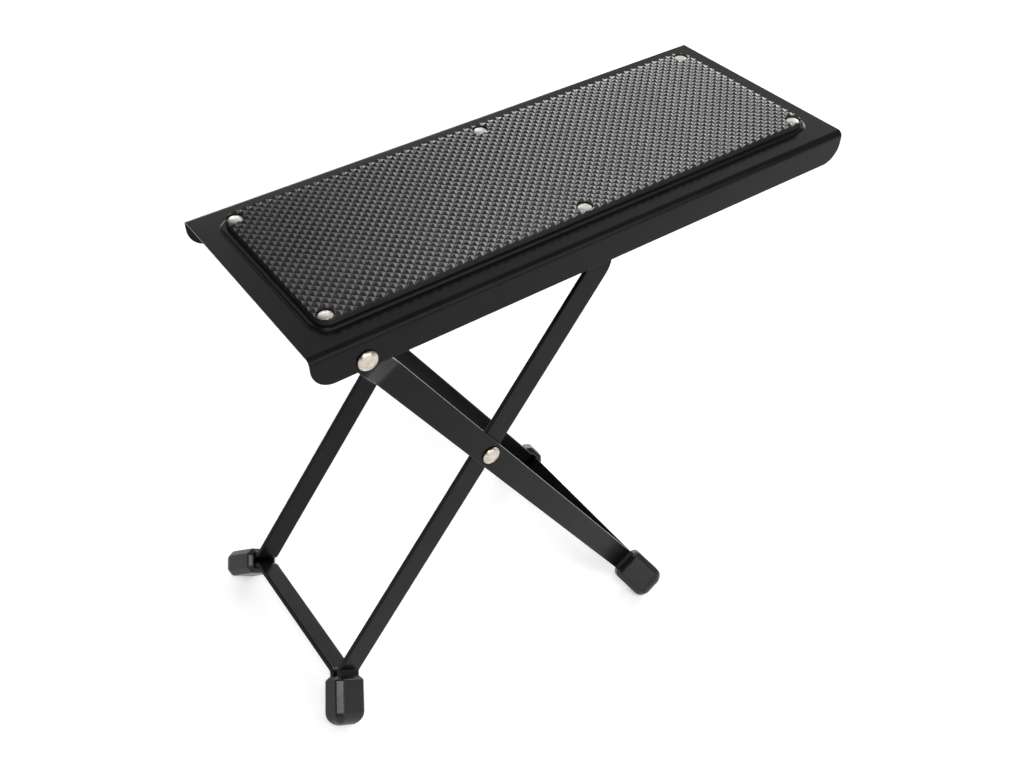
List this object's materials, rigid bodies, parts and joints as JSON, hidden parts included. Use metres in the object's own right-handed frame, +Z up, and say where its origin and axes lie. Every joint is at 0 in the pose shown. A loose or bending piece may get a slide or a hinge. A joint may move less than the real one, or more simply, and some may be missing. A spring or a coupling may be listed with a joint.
{
  "type": "guitar footrest",
  "caption": "Folding guitar footrest: long pressed steel foot plate with a studded rubber mat on two crossed flat-bar leg frames with rubber foot caps.",
  "frame": {"origin": "centre of the bounding box in plan, at floor level under the foot caps", "axes": "+X along the foot plate towards its raised end, +Y from the front to the rear, +Z up"},
  "size_m": [0.2962, 0.1422, 0.3039],
  "materials": {
    "black_paint": "black powder coat, satin with a fine grain",
    "mat_rubber": "moulded black rubber with small square pyramids, slight sheen",
    "cap_rubber": "matt black moulded rubber",
    "nickel": "nickel-plated steel, bright with a warm tone",
    "zinc": "zinc-plated washers"
  },
  "bodies": {
    "foot_plate": {"foot_plate": "black_paint", "rubber_mat": "mat_rubber", "mat_rivet_front_left": "nickel", "mat_rivet_front_middle": "nickel", "mat_rivet_front_right": "nickel", "mat_rivet_rear_left": "nickel", "mat_rivet_rear_middle": "nickel", "mat_rivet_rear_right": "nickel", "height_rack": "black_paint"},
    "plate_pivots": {"plate_pivot_rivet_front": "nickel", "plate_pivot_rivet_rear": "nickel", "plate_pivot_spacer_front": "zinc", "plate_pivot_spacer_rear": "zinc", "plate_pivot_washer_front": "zinc", "plate_pivot_washer_rear": "zinc"},
    "outer_leg_frame": {"outer_leg_frame": "black_paint", "cross_pivot_rivet_front": "nickel", "cross_pivot_rivet_rear": "nickel", "cross_pivot_spacer_front": "zinc", "cross_pivot_spacer_rear": "zinc", "cross_pivot_washer_front": "zinc", "cross_pivot_washer_rear": "zinc", "foot_cap_front_right": "cap_rubber", "foot_cap_rear_right": "cap_rubber"},
    "inner_leg_frame": {"inner_leg_frame": "black_paint", "foot_cap_front_left": "cap_rubber", "foot_cap_rear_left": "cap_rubber"}
  },
  "joints": [
    {"name": "plate_lift", "type": "hinge", "parent": "foot_plate", "child": "plate_pivots", "pos_m": [-0.12152, 0, 0.23844], "axis": [0, 1, 0], "range_deg": [0, 6]},
    {"name": "leg_fold", "type": "hinge", "parent": "plate_pivots", "child": "outer_leg_frame", "pos_m": [-0.12152, 0, 0.23844], "axis": [0, -1, 0], "range_deg": [0, 53.45]},
    {"name": "cross_fold", "type": "hinge", "parent": "outer_leg_frame", "child": "inner_leg_frame", "pos_m": [-0.03963, 0, 0.15196], "axis": [0, 1, 0], "range_deg": [0, 104.7]}
  ],
  "couplings": [
    {"joint": "cross_fold", "follows": "leg_fold", "ratio": 1.9579}
  ]
}
